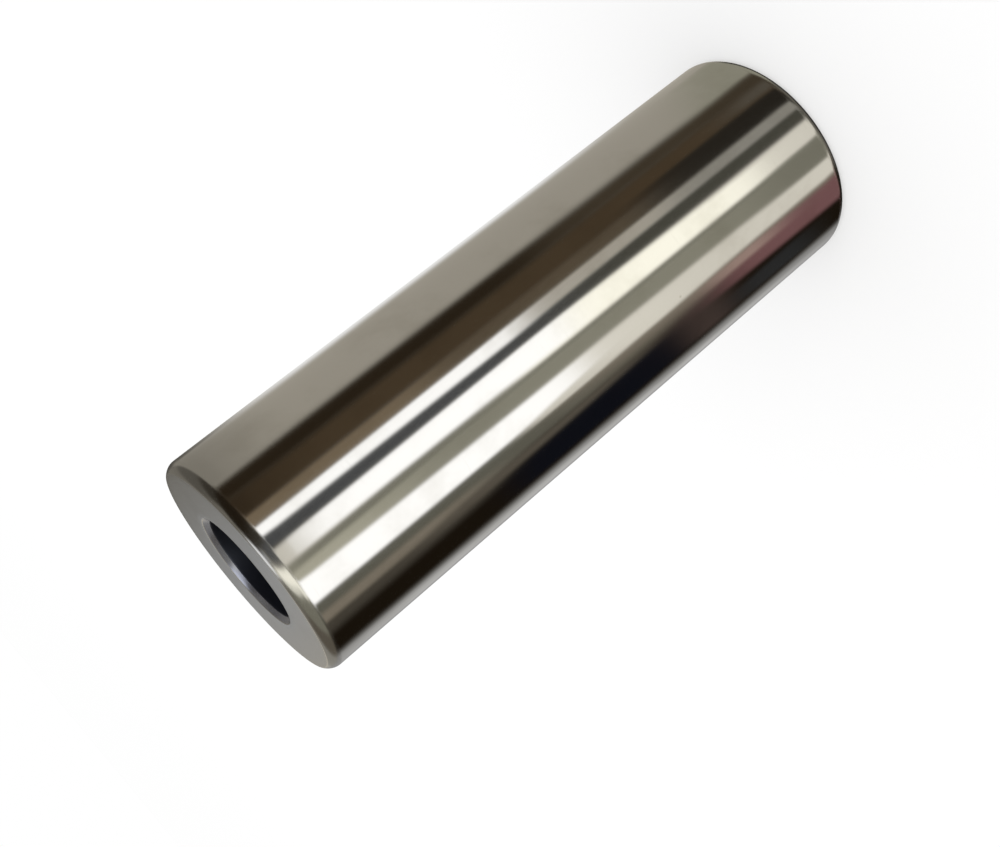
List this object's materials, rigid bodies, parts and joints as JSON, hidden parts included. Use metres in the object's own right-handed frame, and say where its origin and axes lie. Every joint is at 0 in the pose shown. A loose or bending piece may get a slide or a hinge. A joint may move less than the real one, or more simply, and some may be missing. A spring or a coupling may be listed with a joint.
{
  "type": "gudgeon pin",
  "caption": "Hollow hardened steel pin with a mirror-ground outside, rounded end edges and a straight through bore, which joins a piston to its connecting rod.",
  "frame": {"origin": "middle of the lower end face, on the surface that the pin stands on", "axes": "+Z along the pin's axis, from the end that it stands on to the end that faces up; X and Y are alike, as the pin is round"},
  "size_m": [0.022, 0.022, 0.065],
  "materials": {
    "hardened_steel": "ground and lapped to a near mirror outside, satin turned end faces, darker drawn bore"
  },
  "bodies": {
    "root": {"gudgeon_pin": "hardened_steel"}
  },
  "joints": []
}
